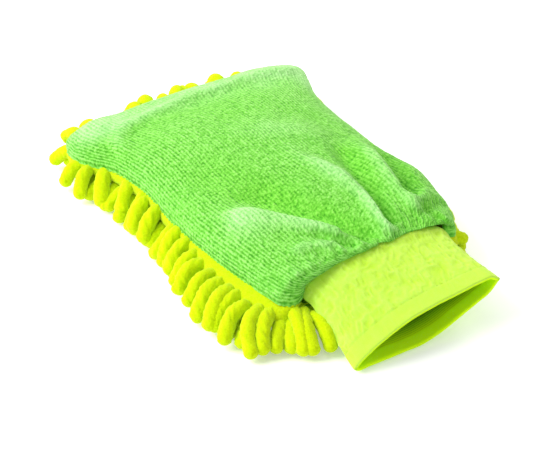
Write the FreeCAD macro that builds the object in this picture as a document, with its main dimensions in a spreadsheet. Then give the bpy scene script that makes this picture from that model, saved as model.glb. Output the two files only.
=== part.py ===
"""Car wash mitt: a terry back and a chenille palm sewn into a hand pocket, with a soft knit cuff.

Frame, in millimetres: +Y runs from the cuff's mouth to the finger end, +X is across the back, +Z is up.
The mitt lies palm down with its noodles on the plane z = 0, and the origin is below the middle of its box.
"""

import FreeCAD, Part
import math
import os

from FreeCAD import Placement, Rotation, Vector

# name: (millimetres or degrees, what it is)
SIZES = {
    "mouth_place": (-145.4, "Y of the cuff's mouth"),
    "cuff_length": (52, "mouth to wrist seam"),
    "body_length": (208, "wrist seam to finger end"),
    "seam_height": (24, "edge seam above the surface"),
    "seam_gap": (0.5, "half the gap that the edge seam's thread lies in"),
    "panel_cloth": (2.6, "terry and chenille backing"),
    "elastic_outside": (2.8, "depth of the elastic's outer face below the panels' outer face"),
    "elastic_inside": (3.6, "depth of the elastic's inner face"),
    "elastic_width": (8, "along the mitt"),
    "lining_outside": (3.8, "depth of the lining's outer face"),
    "lining_inside": (4.8, "depth of the lining's inner face"),
    "thread_outside": (0.9, "depth of a seam thread's outer face"),
    "thread_inside": (1.6, "depth of a seam thread's inner face"),
    "wrist_gap": (1.2, "between the cuff's end and the panels"),
    "wrist_thread_width": (0.5, "along the mitt"),
    "cuff_across": (4.5, "X of the cuff's middle"),
    "cuff_height": (26.4, "cuff's middle above the surface at the wrist"),
    "cuff_fall": (9.6, "how far the cuff's middle falls from wrist to mouth"),
    "wrist_roll": (4, "cuff's roll about its length at the wrist, left side down"),
    "mouth_roll": (13, "the same at the mouth"),
    "cuff_wrist_half_width": (48.5, "outside"),
    "cuff_wrist_half_height": (11.4, "outside"),
    "mouth_half_width": (49, "outside"),
    "mouth_half_height": (12, "outside"),
    "cuff_cloth": (1.4, "one layer of the cuff's knit"),
    "hem_inside": (3.0, "depth of the turned-in hem's inner face"),
    "hem_width": (12, "turned-in hem, from the mouth"),
    "hem_gap": (0.3, "between the hem's two layers, and past its end"),
    "cuff_lining_outside": (1.7, "depth of the cuff lining's outer face"),
    "cuff_lining_inside": (2.7, "depth of the cuff lining's inner face"),
    "noodle_radius": (3.9, "chenille noodle"),
    "noodle_length": (24, "root centre to end centre"),
    "noodle_pitch": (9.8, "noodle to noodle in a row"),
    "noodle_gap": (0.5, "between a root and the backing"),
    "noodle_squash": (0.4, "how far a noodle's end is flattened on the surface"),
    "row_pitch": (19.2, "palm row to palm row"),
    "palm_across": (3.5, "X of the line that the palm's rows lean away from"),
    "fringe_dip": (20, "edge noodles below level, at rest"),
    "fringe_root_depth": (6.9, "edge noodles' roots below the edge seam"),
    "fringe_root_inset": (0, "edge noodles' roots inside the edge"),
    "fringe_start": (31, "first side edge noodle, from the wrist seam"),
    "fringe_end": (46, "last side edge noodle, short of the finger end"),
    "wrist_fan_radius": (22, "centre of a wrist corner's fan to its noodles' roots"),
    "tip_fan_radius": (28.5, "the same at a finger corner"),
}

# The panels' outline, wrist to finger end: share of body_length, X of the middle, half width,
# rise of the back above the edge seam, and drop of the palm below it.
STATIONS = {
    "wrist": (0.00, 4.5, 51, 14, 8.0),
    "gather": (0.06, 4.5, 65, 19.5, 8.0),
    "heel": (0.18, 6, 74, 23.5, 8.0),
    "palm": (0.35, 5, 76, 25, 8.0),
    "knuckle": (0.54, 3, 74.5, 25, 8.0),
    "finger": (0.74, 1.5, 75.5, 22, 8.0),
    "flare": (0.86, 0, 82, 17, 8.0),
    "brow": (0.95, 0, 88, 11.5, 7.6),
    "tip": (1.00, 0, 84, 8, 7.0),
}
BIG = 400.0


def fill_sheet(doc):
    """The spreadsheet of driving dimensions."""
    sheet = doc.addObject("Spreadsheet::Sheet", "Sizes")
    rows = {name: value for name, (value, _) in SIZES.items()}
    notes = {name: note for name, (_, note) in SIZES.items()}
    for station, (share, across, half_width, rise, drop) in STATIONS.items():
        rows[f"{station}_share"] = share
        rows[f"{station}_across"] = across
        rows[f"{station}_half_width"] = half_width
        rows[f"{station}_rise"] = rise
        rows[f"{station}_drop"] = drop
    for line, (name, value) in enumerate(rows.items(), start=1):
        sheet.set(f"A{line}", name)
        sheet.set(f"B{line}", str(value))
        sheet.set(f"C{line}", notes.get(name, ""))
        sheet.setAlias(f"B{line}", name)
    doc.recompute()
    return sheet


def bind(obj, **expressions):
    """Ties an object's properties to the sheet; Y and Z stand for its place."""
    places = {"Y": ".Placement.Base.y", "Z": ".Placement.Base.z"}
    for name, expression in expressions.items():
        obj.setExpression(places.get(name, name), expression)
    return obj


def ellipse(doc, name, place, half_width, half_height, roll="0"):
    """An ellipse across the mitt, rolled left side down about the mitt's length."""
    obj = doc.addObject("Part::Ellipse", name)
    place = f"placement(vector({'; '.join(place)}); rotationy(-({roll})) * rotationx(90))"
    return bind(obj, Placement=place, MajorRadius=half_width, MinorRadius=half_height)


def loft(doc, name, sections):
    obj = doc.addObject("Part::Loft", name)
    obj.Sections = sections
    obj.Solid = True
    obj.Ruled = False
    return obj


def slab(doc, name, y_low, y_high, z_low, z_high):
    """A box right across the mitt between two lengths and two heights."""
    obj = doc.addObject("Part::Box", name)
    obj.Length = 2 * BIG
    obj.Placement.Base = Vector(-BIG, 0, 0)
    return bind(
        obj,
        Y=y_low,
        Z=z_low,
        Width=f"({y_high}) - ({y_low})",
        Height=f"({z_high}) - ({z_low})",
    )


def boolean(doc, kind, name, base, tool):
    obj = doc.addObject(f"Part::{kind}", name)
    obj.Base, obj.Tool = base, tool
    return obj


def body_loft(doc, side, depth):
    """The body's outside taken in by depth (a sheet expression): side is rise or drop."""
    sections = []
    for station in STATIONS:
        start = "Sizes.mouth_place + Sizes.cuff_length"
        along = f"{start} + Sizes.{station}_share * Sizes.body_length"
        if station == "tip":
            along += f" - ({depth})"
        sections.append(
            ellipse(
                doc,
                f"{side}_{station}",
                (f"Sizes.{station}_across", along, "Sizes.seam_height"),
                f"Sizes.{station}_half_width - ({depth})",
                f"Sizes.{station}_{side} - ({depth})",
            )
        )
    return loft(doc, f"{side}_loft", sections)


def body_shell(doc, name, side, outside, inside, box):
    """One half of the pocket between two depths, cut to a box."""
    hollow = boolean(
        doc, "Cut", f"{name}_hollow", body_loft(doc, side, outside), body_loft(doc, side, inside)
    )
    return boolean(doc, "Common", name, hollow, box)


WRIST = "Sizes.mouth_place + Sizes.cuff_length"
TIP = f"{WRIST} + Sizes.body_length"
ABOVE = "Sizes.seam_height + Sizes.seam_gap"
BELOW = "Sizes.seam_height - Sizes.seam_gap"


def upper_box(doc, y_high=TIP):
    return slab(doc, "upper_box", WRIST, y_high, ABOVE, str(BIG))


def lower_box(doc, y_high=TIP):
    return slab(doc, "lower_box", WRIST, y_high, str(-BIG), BELOW)


def panels(doc):
    """The terry back, the chenille palm's backing and the two lining panels."""
    cloth = "Sizes.panel_cloth"
    lining = ("Sizes.lining_outside", "Sizes.lining_inside")
    return [
        body_shell(doc, "top_panel", "rise", "0 * Sizes.panel_cloth", cloth, upper_box(doc)),
        body_shell(doc, "chenille_backing", "drop", "0 * Sizes.panel_cloth", cloth, lower_box(doc)),
        body_shell(doc, "back_lining", "rise", *lining, upper_box(doc)),
        body_shell(doc, "palm_lining", "drop", *lining, lower_box(doc)),
    ]


def edge_seam_thread(doc):
    """The thread between the back's and the palm's edges, round both sides and the finger end."""
    box = slab(
        doc,
        "seam_box",
        WRIST,
        TIP,
        "Sizes.seam_height - 0.7 * Sizes.seam_gap",
        "Sizes.seam_height + 0.7 * Sizes.seam_gap",
    )
    depths = ("Sizes.thread_outside", "Sizes.thread_inside")
    return [body_shell(doc, "edge_seam_thread", "rise", *depths, box)]


def wrist_elastic(doc):
    """The band between panels and lining that gathers the body to the cuff."""
    depths = ("Sizes.elastic_outside", "Sizes.elastic_inside")
    end = f"{WRIST} + Sizes.elastic_width"
    upper = slab(doc, "upper_band", WRIST, end, "Sizes.seam_height", str(BIG))
    lower = slab(doc, "lower_band", WRIST, end, str(-BIG), "Sizes.seam_height")
    over = body_shell(doc, "elastic_over", "rise", *depths, upper)
    under = body_shell(doc, "elastic_under", "drop", *depths, lower)
    return [boolean(doc, "Fuse", "wrist_elastic", over, under)]


def cuff_loft(doc, name, depth):
    """The cuff's outside taken in by depth, from just short of its mouth to just past the wrist."""
    sections = []
    for end, distance in (("wrist", "Sizes.cuff_length + 1"), ("mouth", "-1")):
        share = f"(({distance}) / Sizes.cuff_length)"
        sections.append(
            ellipse(
                doc,
                f"{name}_{end}",
                (
                    "Sizes.cuff_across",
                    f"Sizes.mouth_place + ({distance})",
                    f"Sizes.cuff_height - Sizes.cuff_fall * (1 - {share})",
                ),
                f"Sizes.mouth_half_width - ({depth})"
                f" + {share} * (Sizes.cuff_wrist_half_width - Sizes.mouth_half_width)",
                f"Sizes.mouth_half_height - ({depth})"
                f" + {share} * (Sizes.cuff_wrist_half_height - Sizes.mouth_half_height)",
                f"Sizes.mouth_roll + {share} * (Sizes.wrist_roll - Sizes.mouth_roll)",
            )
        )
    return loft(doc, name, sections)


def cuff_tube(doc, name, outside, inside, near, far):
    """A layer of the cuff between two depths and two distances from the mouth."""
    outer, inner = cuff_loft(doc, f"{name}_outer", outside), cuff_loft(doc, f"{name}_inner", inside)
    layer = boolean(doc, "Cut", f"{name}_layer", outer, inner)
    box = slab(
        doc,
        f"{name}_box",
        f"Sizes.mouth_place + ({near})",
        f"Sizes.mouth_place + ({far})",
        str(-BIG),
        str(BIG),
    )
    return boolean(doc, "Common", name, layer, box)


def cuff(doc):
    """The knit tube with its hem turned in, its lining, the hem's thread and the wrist's thread."""
    end = "Sizes.cuff_length - Sizes.wrist_gap"
    cloth = "Sizes.cuff_cloth"
    gap_start = f"{cloth} + Sizes.hem_gap"
    wall = cuff_tube(doc, "cuff_wall", "0 * Sizes.cuff_cloth", cloth, "0 * Sizes.cuff_cloth", end)
    fold = cuff_tube(
        doc, "cuff_fold", "0.5 * Sizes.cuff_cloth", "Sizes.hem_inside", "0 * Sizes.cuff_cloth", cloth
    )
    hem = cuff_tube(
        doc, "cuff_hem", gap_start, "Sizes.hem_inside", "0.5 * Sizes.cuff_cloth", "Sizes.hem_width"
    )
    turned = boolean(doc, "Fuse", "cuff_turned", fold, hem)
    shell = boolean(doc, "Fuse", "cuff_shell", wall, turned)
    lining = cuff_tube(
        doc,
        "cuff_lining",
        "Sizes.cuff_lining_outside",
        "Sizes.cuff_lining_inside",
        "Sizes.hem_width + Sizes.hem_gap",
        end,
    )
    hem_thread = cuff_tube(
        doc,
        "hem_thread",
        f"{cloth} + 0.2 * Sizes.hem_gap",
        f"{cloth} + 0.8 * Sizes.hem_gap",
        "0.8 * Sizes.hem_width",
        "0.8 * Sizes.hem_width + Sizes.wrist_thread_width",
    )
    middle = "Sizes.cuff_length - 0.5 * Sizes.wrist_gap"
    wrist_thread = cuff_tube(
        doc,
        "wrist_seam_thread",
        "Sizes.thread_outside",
        "Sizes.thread_inside",
        f"{middle} - 0.5 * Sizes.wrist_thread_width",
        f"{middle} + 0.5 * Sizes.wrist_thread_width",
    )
    return [shell, lining, hem_thread, wrist_thread]


class Noodles:
    """Chenille noodles: fat round-ended strands, in rows that are each one node."""

    def __init__(self, doc, sheet):
        self.doc = doc
        self.size = lambda name: float(sheet.get(name))
        self.radius = self.size("noodle_radius")
        self.length = self.size("noodle_length")
        self.pitch = self.size("noodle_pitch")
        self.seam = self.size("seam_height")
        self.wrist = self.size("mouth_place") + self.size("cuff_length")
        self.tip = self.wrist + self.size("body_length")
        drop = max(self.size(f"{station}_drop") for station in STATIONS)
        self.root_height = self.seam - drop - self.size("noodle_gap") - self.radius
        end_height = self.radius - self.size("noodle_squash")
        self.dip = math.degrees(math.asin((self.root_height - end_height) / self.length))
        self.ground = Part.makeBox(2 * BIG, 2 * BIG, BIG, Vector(-BIG, -BIG, -BIG))
        self.placed = []

    def edge(self, side, along):
        """X of the panels' edge on one side, in straight runs between stations."""
        share = (along - self.wrist) / (self.tip - self.wrist)
        names = list(STATIONS)
        for low, high in zip(names, names[1:]):
            start, end = self.size(f"{low}_share"), self.size(f"{high}_share")
            if start <= share <= end:
                near, far = (
                    self.size(f"{name}_across") + side * self.size(f"{name}_half_width")
                    for name in (low, high)
                )
                return near + (far - near) * (share - start) / (end - start)
        raise ValueError(f"no edge at {along}")

    def strand(self):
        """One noodle standing on its root's centre."""
        r, run = self.radius, self.length
        bend = r * math.sqrt(0.5)
        low, high = Vector(0, 0, -r), Vector(0, 0, run + r)
        side_low, side_high = Vector(r, 0, 0), Vector(r, 0, run)
        outline = Part.Wire(
            [
                Part.Arc(low, Vector(bend, 0, -bend), side_low).toShape(),
                Part.LineSegment(side_low, side_high).toShape(),
                Part.Arc(side_high, Vector(bend, 0, run + bend), high).toShape(),
                Part.LineSegment(high, low).toShape(),
            ]
        )
        return Part.Face(outline).revolve(Vector(0, 0, 0), Vector(0, 0, 1), 360)

    def lay(self, root, heading, dip):
        """A noodle from its root's centre; heading is counted from +X towards +Y."""
        turn = Rotation(Vector(0, 0, 1), heading).multiply(Rotation(Vector(0, 1, 0), 90 + dip))
        end = root + turn.multVec(Vector(0, 0, self.length))
        self.placed.append(Part.makeLine(root, end))
        noodle = self.strand()
        noodle.Placement = Placement(root, turn)
        return noodle.cut(self.ground)

    def has_room(self, root, heading):
        """True if a palm noodle here stays clear of those already laid."""
        turn = Rotation(Vector(0, 0, 1), heading).multiply(Rotation(Vector(0, 1, 0), 90 + self.dip))
        line = Part.makeLine(root, root + turn.multVec(Vector(0, 0, self.length)))
        near = [other for other in self.placed if (other.CenterOfMass - line.CenterOfMass).Length < 40]
        return all(line.distToShape(other)[0] > 2 * self.radius + 0.25 for other in near)

    def group(self, name, solids):
        obj = self.doc.addObject("Part::Feature", name)
        obj.Shape = Part.makeCompound(solids)
        return obj

    def row(self, name, start, end, heading, dip):
        """Noodles on a straight line of stitching, all leaning one way."""
        run = end - start
        count = round(run.Length / self.pitch) + 1
        roots = [start + run * (k / (count - 1)) for k in range(count)]
        return self.group(name, [self.lay(root, heading, dip) for root in roots])

    def side_fringe(self, name, side):
        """The uppermost row along one side, square to its line of stitching."""
        inset = self.size("fringe_root_inset")
        height = self.seam - self.size("fringe_root_depth")
        start, end = (
            Vector(self.edge(side, along) - side * inset, along, height)
            for along in (
                self.wrist + self.size("fringe_start"),
                self.tip - self.size("fringe_end"),
            )
        )
        lean = math.degrees(math.atan2((end - start).x, (end - start).y))
        square = 0 if side > 0 else 180
        return self.row(name, start, end, square - lean, self.size("fringe_dip"))

    def tip_fringe(self):
        """The uppermost row across the finger end."""
        along = self.tip + self.radius + self.size("noodle_gap")
        height = self.seam - self.size("fringe_root_depth")
        half = self.pitch * 6.5
        start, end = (Vector(x, along, height) for x in (-half, half))
        return self.row("tip_fringe", start, end, 90, self.size("fringe_dip"))

    def corner(self, name, side, centre, radius, headings):
        """A fan of palm noodles round a corner; headings are those of the right-hand side."""
        solids = []
        for heading in headings:
            angle = math.radians(heading)
            x = centre[0] + side * radius * math.cos(angle)
            y = centre[1] + radius * math.sin(angle)
            leaning = heading if side > 0 else 180 - heading
            solids.append(self.lay(Vector(x, y, self.root_height), leaning, self.dip))
        return self.group(name, solids)

    def corners(self):
        wrist_radius, tip_radius = self.size("wrist_fan_radius"), self.size("tip_fan_radius")
        wrist_fan, tip_fan = range(-20, -87, -22), range(0, 86, 17)
        wrist, tip = self.wrist + 28, self.tip - 36
        return [
            self.corner("wrist_corner_left", -1, (-36, wrist), wrist_radius, wrist_fan),
            self.corner("wrist_corner_right", 1, (44, wrist), wrist_radius, wrist_fan),
            self.corner("tip_corner_left", -1, (-51, tip), tip_radius, tip_fan),
            self.corner("tip_corner_right", 1, (51, tip), tip_radius, tip_fan),
        ]

    def end_rows(self):
        """The palm's row across the finger end and the one across the wrist."""
        wrist, tip = self.wrist + 6.2, self.tip - 7.5
        made = []
        for name, along, heading, low, high in (
            ("wrist_noodles", wrist, -90, -28, 36),
            ("tip_noodles", tip, 90, -4.5 * self.pitch, 4.5 * self.pitch),
        ):
            start, end = (Vector(x, along, self.root_height) for x in (low, high))
            made.append(self.row(name, start, end, heading, self.dip))
        return made

    def palm_rows(self):
        """Rows along the palm, leaning outwards, wherever a noodle has room."""
        first, last = self.wrist + 14.8, self.tip - 15.6
        count = int((last - first) / self.pitch) + 1
        step = (last - first) / (count - 1)
        made = []
        for side, across, heading in (("left", -1, 180), ("right", 1, 0)):
            for line in range(4):
                x = self.size("palm_across") + across * self.size("row_pitch") * (line + 0.4)
                offset = step / 2 if line % 2 else 0
                solids = []
                for k in range(count):
                    along = min(first + k * step + offset, last)
                    root = Vector(x, along, self.root_height)
                    inside = abs(x) + self.radius < abs(self.edge(across, along))
                    if inside and self.has_room(root, heading):
                        solids.append(self.lay(root, heading, self.dip))
                made.append(self.group(f"palm_noodles_{side}_{line + 1}", solids))
        return made


def noodles(doc, sheet):
    """Every chenille noodle: the edge fringe, the corners, both ends and the palm."""
    maker = Noodles(doc, sheet)
    return [
        maker.side_fringe("left_fringe", -1),
        maker.side_fringe("right_fringe", 1),
        maker.tip_fringe(),
        *maker.corners(),
        *maker.end_rows(),
        *maker.palm_rows(),
    ]


def check(doc, pieces):
    """Stops if any object failed or any piece isn't a valid solid."""
    failed = [obj.Name for obj in doc.Objects if {"Invalid", "Error"} & set(obj.State)]
    if failed:
        raise RuntimeError(f"failed objects: {failed}")
    for obj in pieces:
        shape = obj.Shape
        if shape.isNull() or not shape.isValid() or not shape.Solids:
            raise RuntimeError(f"{obj.Label} isn't a valid solid")
        if min(solid.Volume for solid in shape.Solids) <= 0:
            raise RuntimeError(f"{obj.Label} has an empty solid")


def main():
    doc = FreeCAD.newDocument("wash_mitt")
    sheet = fill_sheet(doc)
    pieces = [
        *panels(doc),
        *edge_seam_thread(doc),
        *wrist_elastic(doc),
        *cuff(doc),
        *noodles(doc, sheet),
    ]
    doc.recompute()
    check(doc, pieces)
    os.makedirs("parts", exist_ok=True)
    for obj in pieces:
        obj.Shape.exportStep(f"parts/{obj.Label}.step")
        box = obj.Shape.optimalBoundingBox(False)
        print(
            f"{obj.Label}: {len(obj.Shape.Solids)} solids, {obj.Shape.Volume:.0f} mm3,"
            f" x {box.XMin:.1f} {box.XMax:.1f} y {box.YMin:.1f} {box.YMax:.1f}"
            f" z {box.ZMin:.2f} {box.ZMax:.2f}"
        )


main()
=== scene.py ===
import math

import bpy
import numpy as np
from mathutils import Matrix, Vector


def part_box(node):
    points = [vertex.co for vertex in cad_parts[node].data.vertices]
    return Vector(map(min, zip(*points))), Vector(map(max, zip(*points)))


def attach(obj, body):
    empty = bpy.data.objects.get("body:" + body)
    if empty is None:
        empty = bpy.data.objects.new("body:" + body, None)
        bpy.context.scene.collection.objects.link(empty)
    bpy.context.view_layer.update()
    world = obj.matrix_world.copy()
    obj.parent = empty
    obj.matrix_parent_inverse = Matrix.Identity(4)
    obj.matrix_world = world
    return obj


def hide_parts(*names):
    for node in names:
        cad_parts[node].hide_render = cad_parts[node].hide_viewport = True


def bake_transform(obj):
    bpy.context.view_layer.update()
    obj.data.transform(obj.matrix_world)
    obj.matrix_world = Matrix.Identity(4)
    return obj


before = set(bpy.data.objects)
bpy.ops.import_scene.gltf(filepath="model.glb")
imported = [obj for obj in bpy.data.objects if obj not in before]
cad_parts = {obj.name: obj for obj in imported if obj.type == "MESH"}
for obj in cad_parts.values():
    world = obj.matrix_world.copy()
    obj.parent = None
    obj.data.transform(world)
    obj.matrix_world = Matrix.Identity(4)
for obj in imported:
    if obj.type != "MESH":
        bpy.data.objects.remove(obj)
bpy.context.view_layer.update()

# Lengths are in millimetres until a mesh is made. "along" is counted from the wrist seam to the
# finger end, and from the mouth on the cuff; X, Y and Z are the CAD's.
MM = 0.001
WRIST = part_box("top_panel")[0][1] / MM
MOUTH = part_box("cuff_shell")[0][1] / MM
CUFF = WRIST - MOUTH
HEM = 9.6  # the hem's stitching, from the mouth
MIDDLE_X = 4  # the cuff's middle
FLOOR_SIZE = 3.0  # metres
rng = np.random.default_rng(7)


# ---------------------------------------------------------------- curves and noise

def smooth(knots, t):
    """A smooth curve through knots (t, value, ...) at t."""
    k = np.array(knots, float)
    x, y = k[:, 0], k[:, 1:]
    m = np.gradient(y, x, axis=0)
    t = np.asarray(t, float)
    i = np.clip(np.searchsorted(x, t, "right") - 1, 0, len(x) - 2)
    h = (x[i + 1] - x[i])[..., None]
    s = np.clip((t[..., None] - x[i][..., None]) / h, 0, 1)
    a, b = y[i], y[i + 1]
    out = (
        (1 + 2 * s) * (1 - s) ** 2 * a
        + s * (1 - s) ** 2 * h * m[i]
        + s * s * (3 - 2 * s) * b
        + s * s * (s - 1) * h * m[i + 1]
    )
    return out[..., 0] if out.shape[-1] == 1 else out


def lattice(shape, seed):
    return np.random.default_rng(seed).random(shape) * 2 - 1


def noise2(x, y, cell, seed=1):
    """Smooth value noise from -1 to 1 over x and y, with features about cell across."""
    n = 256
    grid = lattice((n, n), seed)
    x, y = np.asarray(x, float) / cell, np.asarray(y, float) / cell
    i, j = np.floor(x).astype(int), np.floor(y).astype(int)
    u, v = x - i, y - j
    u, v = u * u * (3 - 2 * u), v * v * (3 - 2 * v)
    a, b = grid[i % n, j % n], grid[(i + 1) % n, j % n]
    c, d = grid[i % n, (j + 1) % n], grid[(i + 1) % n, (j + 1) % n]
    return (a * (1 - u) + b * u) * (1 - v) + (c * (1 - u) + d * u) * v


def step(a, b, t):
    s = np.clip((t - a) / (b - a), 0, 1)
    return s * s * (3 - 2 * s)


def to_line(x, y, points):
    """Distance from (x, y) to a polyline, which side it is on, and how far along it the foot is, 0 to 1."""
    best = np.full(np.shape(x), 1e9)
    side = np.zeros(np.shape(x))
    place = np.zeros(np.shape(x))
    points = np.array(points, float)
    runs = np.linalg.norm(np.diff(points, axis=0), axis=1)
    done = 0.0
    for (ax, ay), (bx, by), run in zip(points, points[1:], runs):
        dx, dy = (bx - ax) / run, (by - ay) / run
        s = np.clip((x - ax) * dx + (y - ay) * dy, 0, run)
        ox, oy = x - ax - s * dx, y - ay - s * dy
        d = np.hypot(ox, oy)
        nearer = d < best
        best = np.where(nearer, d, best)
        side = np.where(nearer, np.sign(dx * oy - dy * ox), side)
        place = np.where(nearer, (done + s) / runs.sum(), place)
        done += run
    return best, side, place


# ---------------------------------------------------------------- meshes

def grid_faces(rows, cols, wrap=False):
    i, j = np.meshgrid(np.arange(rows - 1), np.arange(cols if wrap else cols - 1), indexing="ij")
    k = (j + 1) % cols
    return np.stack([i * cols + j, i * cols + k, (i + 1) * cols + k, (i + 1) * cols + j], -1).reshape(-1, 4)


def make(name, points, faces, attributes=None, body=None, replaces=(), flip=False):
    """A smooth mesh from points in millimetres; attributes are per point."""
    mesh = bpy.data.meshes.new(name)
    faces = np.asarray(faces)
    if flip:
        faces = faces[:, ::-1]
    mesh.vertices.add(len(points))
    mesh.vertices.foreach_set("co", (np.asarray(points, float) * MM).astype(np.float32).ravel())
    mesh.loops.add(faces.size)
    mesh.loops.foreach_set("vertex_index", faces.ravel().astype(np.int32))
    mesh.polygons.add(len(faces))
    size = faces.shape[1]
    mesh.polygons.foreach_set("loop_start", (np.arange(len(faces)) * size).astype(np.int32))
    mesh.polygons.foreach_set("use_smooth", np.ones(len(faces), bool))
    mesh.update(calc_edges=True)
    mesh.validate()
    for key, values in (attributes or {}).items():
        values = np.asarray(values, np.float32)
        kind = "FLOAT" if values.ndim == 1 else "FLOAT_VECTOR"
        layer = mesh.attributes.new(key, kind, "POINT")
        layer.data.foreach_set("value" if values.ndim == 1 else "vector", values.ravel())
    piece = bpy.data.objects.new(name, mesh)
    bpy.context.scene.collection.objects.link(piece)
    if body:
        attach(piece, body)
    if replaces:
        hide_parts(*replaces)
    return piece


def normals(points):
    """Unit normals of a grid of points (rows, columns, 3)."""
    a, b = np.gradient(points, axis=0), np.gradient(points, axis=1)
    n = np.cross(b, a)
    return n / np.maximum(np.linalg.norm(n, axis=-1, keepdims=True), 1e-9)


# ---------------------------------------------------------------- materials

def material(name):
    m = bpy.data.materials.new(name)
    m.use_nodes = True
    return m, m.node_tree.nodes, m.node_tree.links, m.node_tree.nodes["Principled BSDF"]


def math_node(nodes, links, operation, a, b=None):
    n = nodes.new("ShaderNodeMath")
    n.operation = operation
    for socket, value in zip(n.inputs, (a, b)):
        if value is None:
            continue
        if isinstance(value, (int, float)):
            socket.default_value = value
        else:
            links.new(value, socket)
    return n.outputs[0]


def ramp(nodes, links, factor, stops):
    n = nodes.new("ShaderNodeValToRGB")
    links.new(factor, n.inputs[0])
    while len(n.color_ramp.elements) < len(stops):
        n.color_ramp.elements.new(0.5)
    for e, (place, colour) in zip(n.color_ramp.elements, stops):
        e.position, e.color = place, (*colour, 1)
    return n.outputs[0]


def mix(nodes, links, factor, a, b, kind="MIX"):
    n = nodes.new("ShaderNodeMix")
    n.data_type, n.blend_type = "RGBA", kind
    for socket, value in ((n.inputs["Factor"], factor), (n.inputs["A"], a), (n.inputs["B"], b)):
        if isinstance(value, (int, float)):
            socket.default_value = value
        elif isinstance(value, tuple):
            socket.default_value = (*value, 1)
        else:
            links.new(value, socket)
    return n.outputs["Result"]


def coordinates(nodes, links, scale=(1, 1, 1), attribute=None):
    """Object coordinates, or a named attribute's, in millimetres, then scaled."""
    if attribute:
        source = nodes.new("ShaderNodeAttribute")
        source.attribute_name = attribute
        out, k = source.outputs["Vector"], 1
    else:
        source = nodes.new("ShaderNodeTexCoord")
        out, k = source.outputs["Object"], 1000
    m = nodes.new("ShaderNodeMapping")
    m.inputs["Scale"].default_value = [s * k for s in scale]
    links.new(out, m.inputs["Vector"])
    return m.outputs["Vector"]


def noise_tex(nodes, links, vector, scale, detail=2.0, rough=0.5):
    n = nodes.new("ShaderNodeTexNoise")
    n.inputs["Scale"].default_value = scale
    n.inputs["Detail"].default_value = detail
    n.inputs["Roughness"].default_value = rough
    links.new(vector, n.inputs["Vector"])
    return n.outputs["Fac"]


def voronoi(nodes, links, vector, scale, randomness=1.0):
    n = nodes.new("ShaderNodeTexVoronoi")
    n.inputs["Scale"].default_value = scale
    n.inputs["Randomness"].default_value = randomness
    links.new(vector, n.inputs["Vector"])
    return n.outputs["Distance"]


def bump(nodes, links, height, distance_mm, strength=1.0, under=None):
    n = nodes.new("ShaderNodeBump")
    n.inputs["Distance"].default_value = distance_mm * MM
    n.inputs["Strength"].default_value = strength
    links.new(height, n.inputs["Height"])
    if under is not None:
        links.new(under, n.inputs["Normal"])
    return n.outputs["Normal"]


def cloth_look(shader, rough, sheen, sheen_rough=0.5, tint=(1, 1, 1)):
    shader.inputs["Roughness"].default_value = rough
    shader.inputs["Specular IOR Level"].default_value = 0.15
    shader.inputs["Sheen Weight"].default_value = sheen
    shader.inputs["Sheen Roughness"].default_value = sheen_rough
    shader.inputs["Sheen Tint"].default_value = (*tint, 1)


def terry_material():
    """Green looped microfibre: ribs along the mitt, knobbly loops on them, with painted shade darker between."""
    m, nodes, links, shader = material("green_terry")
    height = nodes.new("ShaderNodeAttribute")
    height.attribute_name = "pile"
    folds = nodes.new("ShaderNodeAttribute")
    folds.attribute_name = "painted_fold_shade"
    knobs = voronoi(nodes, links, coordinates(nodes, links, (1, 1, 1), "cloth"), 0.72, 0.9)
    fine = noise_tex(nodes, links, coordinates(nodes, links, attribute="cloth"), 1.5, 3, 0.6)
    broad = noise_tex(nodes, links, coordinates(nodes, links, attribute="cloth"), 0.05, 2)
    lift = math_node(nodes, links, "SUBTRACT", height.outputs["Fac"], math_node(nodes, links, "MULTIPLY", knobs, 0.44))
    lift = math_node(nodes, links, "ADD", lift, math_node(nodes, links, "MULTIPLY", fine, 0.42))
    # painted shade: the ramp's dark stops darken the valleys between the ribs and loops
    colour = ramp(nodes, links, lift, [
        (0.14, (0.045, 0.29, 0.008)),
        (0.34, (0.125, 0.47, 0.032)),
        (0.52, (0.21, 0.62, 0.078)),
        (0.78, (0.34, 0.78, 0.17)),
    ])
    # painted shade: darker, yellower colour in the fold valleys and on the shaded right of the wrist gathers
    deep = ramp(nodes, links, folds.outputs["Fac"], [(0.0, (1.0, 1.0, 1.0)), (0.8, (0.84, 0.97, 0.55))])
    colour = mix(nodes, links, 1.0, colour, deep, "MULTIPLY")
    colour = mix(nodes, links, math_node(nodes, links, "MULTIPLY", broad, 0.25), colour, (0.17, 0.60, 0.08))
    # painted highlight: paler colour on the fold crests, the finger end and the right edge
    highlight_source = nodes.new("ShaderNodeAttribute")
    highlight_source.attribute_name = "painted_highlight"
    highlight_colour = ramp(nodes, links, lift, [(0.2, (0.34, 0.74, 0.24)), (0.7, (0.56, 0.91, 0.43))])
    colour = mix(nodes, links, math_node(nodes, links, "MULTIPLY", highlight_source.outputs["Fac"], 0.62), colour, highlight_colour)
    links.new(colour, shader.inputs["Base Color"])
    cloth_look(shader, 0.85, 0.40, 0.35, (0.82, 1.0, 0.6))
    links.new(bump(nodes, links, lift, 0.8, 0.8), shader.inputs["Normal"])
    return m


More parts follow.
